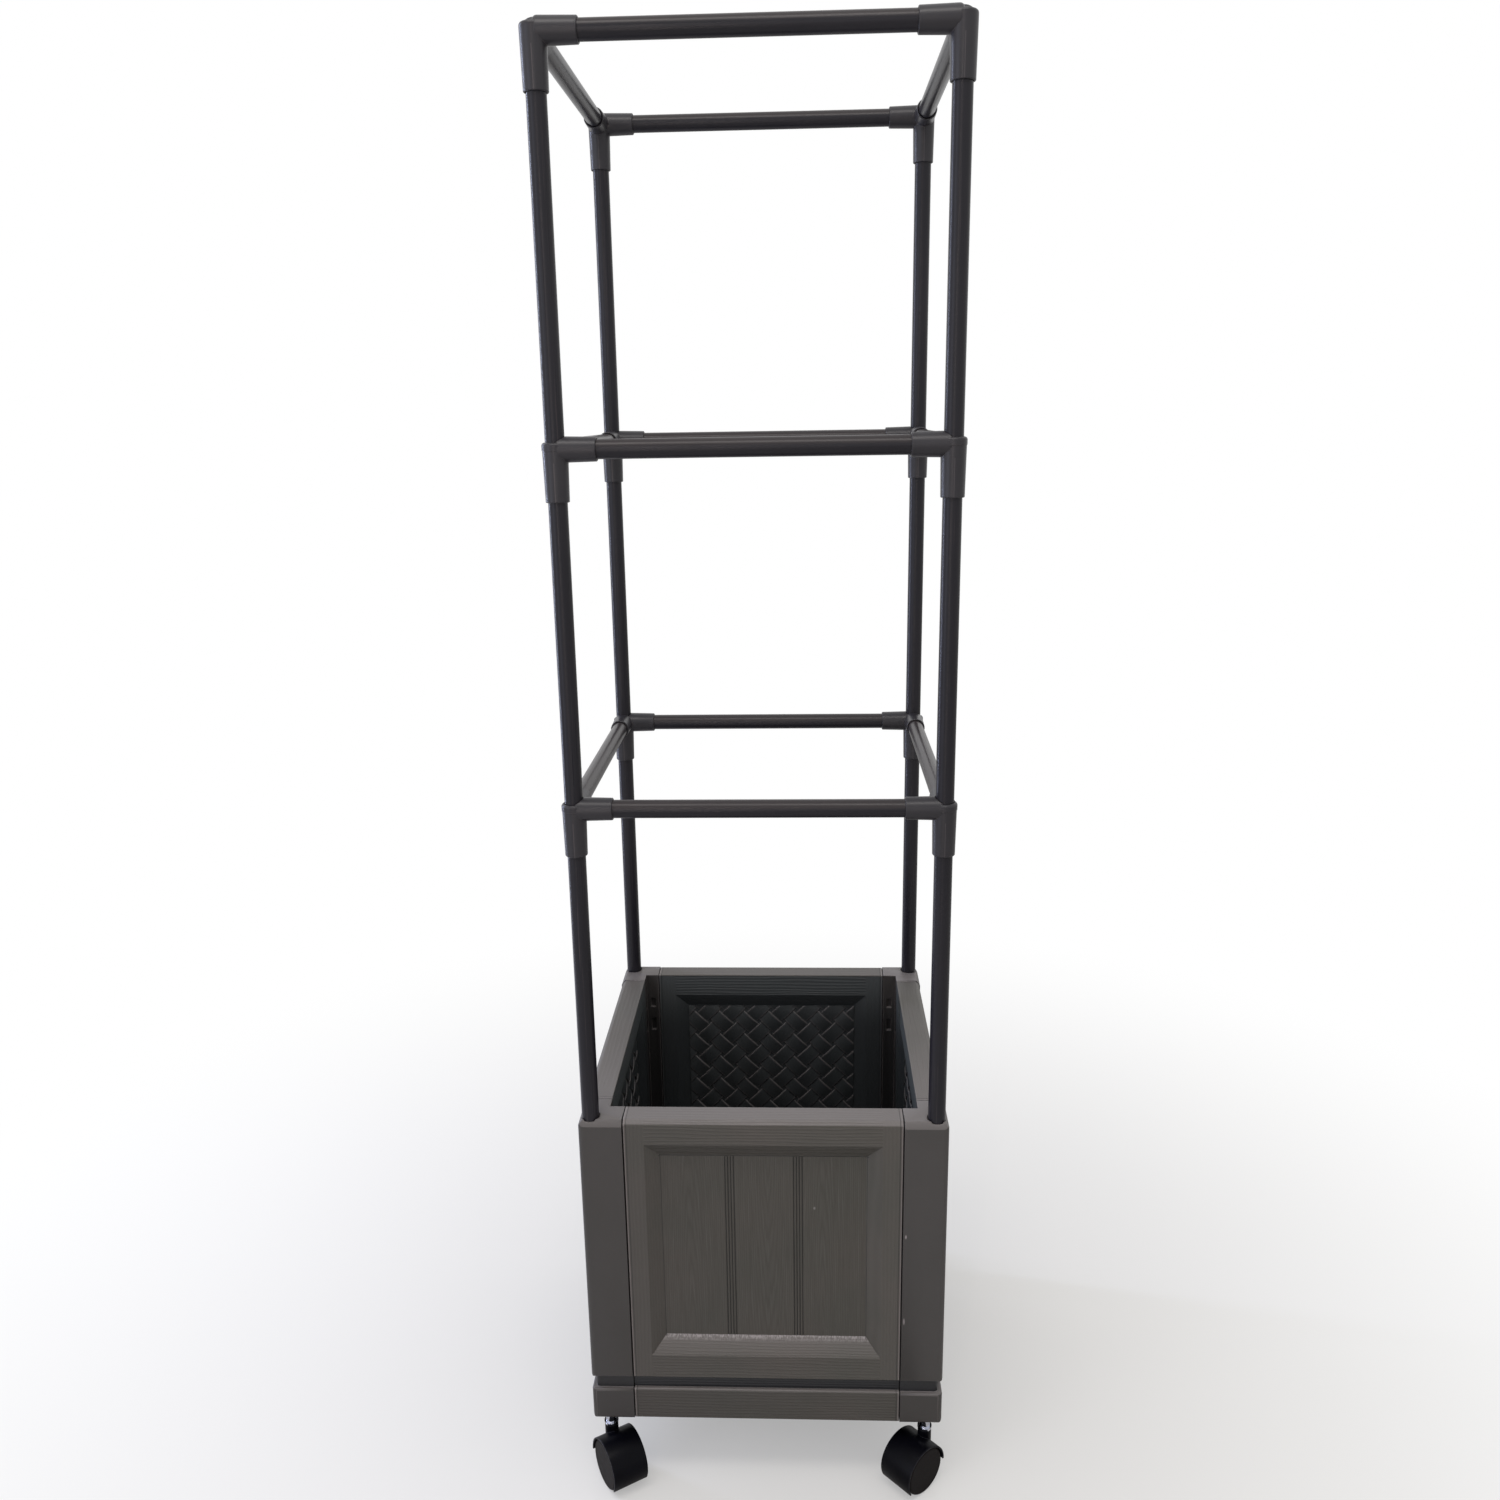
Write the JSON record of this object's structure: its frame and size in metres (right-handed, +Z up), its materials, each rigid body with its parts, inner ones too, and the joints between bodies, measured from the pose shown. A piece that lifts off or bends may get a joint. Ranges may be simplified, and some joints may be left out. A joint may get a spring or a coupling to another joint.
{
  "type": "planter with frame",
  "caption": "Square floor planter box on swivelling twin-wheel casters, with panel walls and a tall ringed tube cage above for climbing plants.",
  "frame": {"origin": "on the floor under the middle of the planter, bottom centre of the bounding box", "axes": "+Z up along the cage, +X to the right and -Y to the front"},
  "size_m": [0.3524, 0.4042, 1.3175],
  "materials": {
    "moulding": "matt taupe grey moulded wood grain",
    "tube": "semi-gloss dark grey coated tube",
    "connector": "satin dark grey moulded",
    "chrome": "bright plated",
    "pin_steel": "plain steel",
    "hood": "satin black",
    "wheel": "satin black"
  },
  "bodies": {
    "planter": {"floor_tray": "moulding", "panel_front": "moulding", "panel_right": "moulding", "panel_rear": "moulding", "panel_left": "moulding", "base_rail_front": "moulding", "base_rail_right": "moulding", "base_rail_rear": "moulding", "base_rail_left": "moulding", "post_front_left": "moulding", "post_front_right": "moulding", "post_rear_right": "moulding", "post_rear_left": "moulding", "foot_front_left": "moulding", "foot_front_right": "moulding", "foot_rear_right": "moulding", "foot_rear_left": "moulding", "riser_tubes_front_left": "tube", "riser_tubes_front_right": "tube", "riser_tubes_rear_right": "tube", "riser_tubes_rear_left": "tube", "low_ring_cross_bars": "tube", "middle_ring_cross_bars": "tube", "top_ring_cross_bars": "tube", "low_ring_side_bars": "tube", "middle_ring_side_bars": "tube", "top_ring_side_bars": "tube", "low_connector_front_left": "connector", "low_connector_front_right": "connector", "low_connector_rear_right": "connector", "low_connector_rear_left": "connector", "middle_connector_front_left": "connector", "middle_connector_front_right": "connector", "middle_connector_rear_right": "connector", "middle_connector_rear_left": "connector", "top_connector_front_left": "connector", "top_connector_front_right": "connector", "top_connector_rear_right": "connector", "top_connector_rear_left": "connector", "stem_front_left": "chrome", "stem_front_right": "chrome", "stem_rear_right": "chrome", "stem_rear_left": "chrome"},
    "caster_front_left": {"hood_front_left": "hood", "axle_front_left": "pin_steel"},
    "outer_wheel_front_left": {"outer_wheel_front_left": "wheel"},
    "inner_wheel_front_left": {"inner_wheel_front_left": "wheel"},
    "caster_front_right": {"hood_front_right": "hood", "axle_front_right": "pin_steel"},
    "outer_wheel_front_right": {"outer_wheel_front_right": "wheel"},
    "inner_wheel_front_right": {"inner_wheel_front_right": "wheel"},
    "caster_rear_right": {"hood_rear_right": "hood", "axle_rear_right": "pin_steel"},
    "outer_wheel_rear_right": {"outer_wheel_rear_right": "wheel"},
    "inner_wheel_rear_right": {"inner_wheel_rear_right": "wheel"},
    "caster_rear_left": {"hood_rear_left": "hood", "axle_rear_left": "pin_steel"},
    "outer_wheel_rear_left": {"outer_wheel_rear_left": "wheel"},
    "inner_wheel_rear_left": {"inner_wheel_rear_left": "wheel"}
  },
  "joints": [
    {"name": "swivel_front_left", "type": "hinge", "parent": "planter", "child": "caster_front_left", "pos_m": [-0.156, -0.156, 0.0504], "axis": [0, 0, 1], "continuous": true},
    {"name": "outer_roll_front_left", "type": "hinge", "parent": "caster_front_left", "child": "outer_wheel_front_left", "pos_m": [-0.14674, -0.17026, 0.024], "axis": [0.8387, 0.5446, 0], "continuous": true},
    {"name": "inner_roll_front_left", "type": "hinge", "parent": "caster_front_left", "child": "inner_wheel_front_left", "pos_m": [-0.14674, -0.17026, 0.024], "axis": [0.8387, 0.5446, 0], "continuous": true},
    {"name": "swivel_front_right", "type": "hinge", "parent": "planter", "child": "caster_front_right", "pos_m": [0.156, -0.156, 0.0504], "axis": [0, 0, 1], "continuous": true},
    {"name": "outer_roll_front_right", "type": "hinge", "parent": "caster_front_right", "child": "outer_wheel_front_right", "pos_m": [0.14377, -0.16781, 0.024], "axis": [0.6947, -0.7193, 0], "continuous": true},
    {"name": "inner_roll_front_right", "type": "hinge", "parent": "caster_front_right", "child": "inner_wheel_front_right", "pos_m": [0.14377, -0.16781, 0.024], "axis": [0.6947, -0.7193, 0], "continuous": true},
    {"name": "swivel_rear_right", "type": "hinge", "parent": "planter", "child": "caster_rear_right", "pos_m": [0.156, 0.156, 0.0504], "axis": [0, 0, 1], "continuous": true},
    {"name": "outer_roll_rear_right", "type": "hinge", "parent": "caster_rear_right", "child": "outer_wheel_rear_right", "pos_m": [0.14674, 0.17026, 0.024], "axis": [-0.8387, -0.5446, 0], "continuous": true},
    {"name": "inner_roll_rear_right", "type": "hinge", "parent": "caster_rear_right", "child": "inner_wheel_rear_right", "pos_m": [0.14674, 0.17026, 0.024], "axis": [-0.8387, -0.5446, 0], "continuous": true},
    {"name": "swivel_rear_left", "type": "hinge", "parent": "planter", "child": "caster_rear_left", "pos_m": [-0.156, 0.156, 0.0504], "axis": [0, 0, 1], "continuous": true},
    {"name": "outer_roll_rear_left", "type": "hinge", "parent": "caster_rear_left", "child": "outer_wheel_rear_left", "pos_m": [-0.14377, 0.16781, 0.024], "axis": [-0.6947, 0.7193, 0], "continuous": true},
    {"name": "inner_roll_rear_left", "type": "hinge", "parent": "caster_rear_left", "child": "inner_wheel_rear_left", "pos_m": [-0.14377, 0.16781, 0.024], "axis": [-0.6947, 0.7193, 0], "continuous": true}
  ]
}
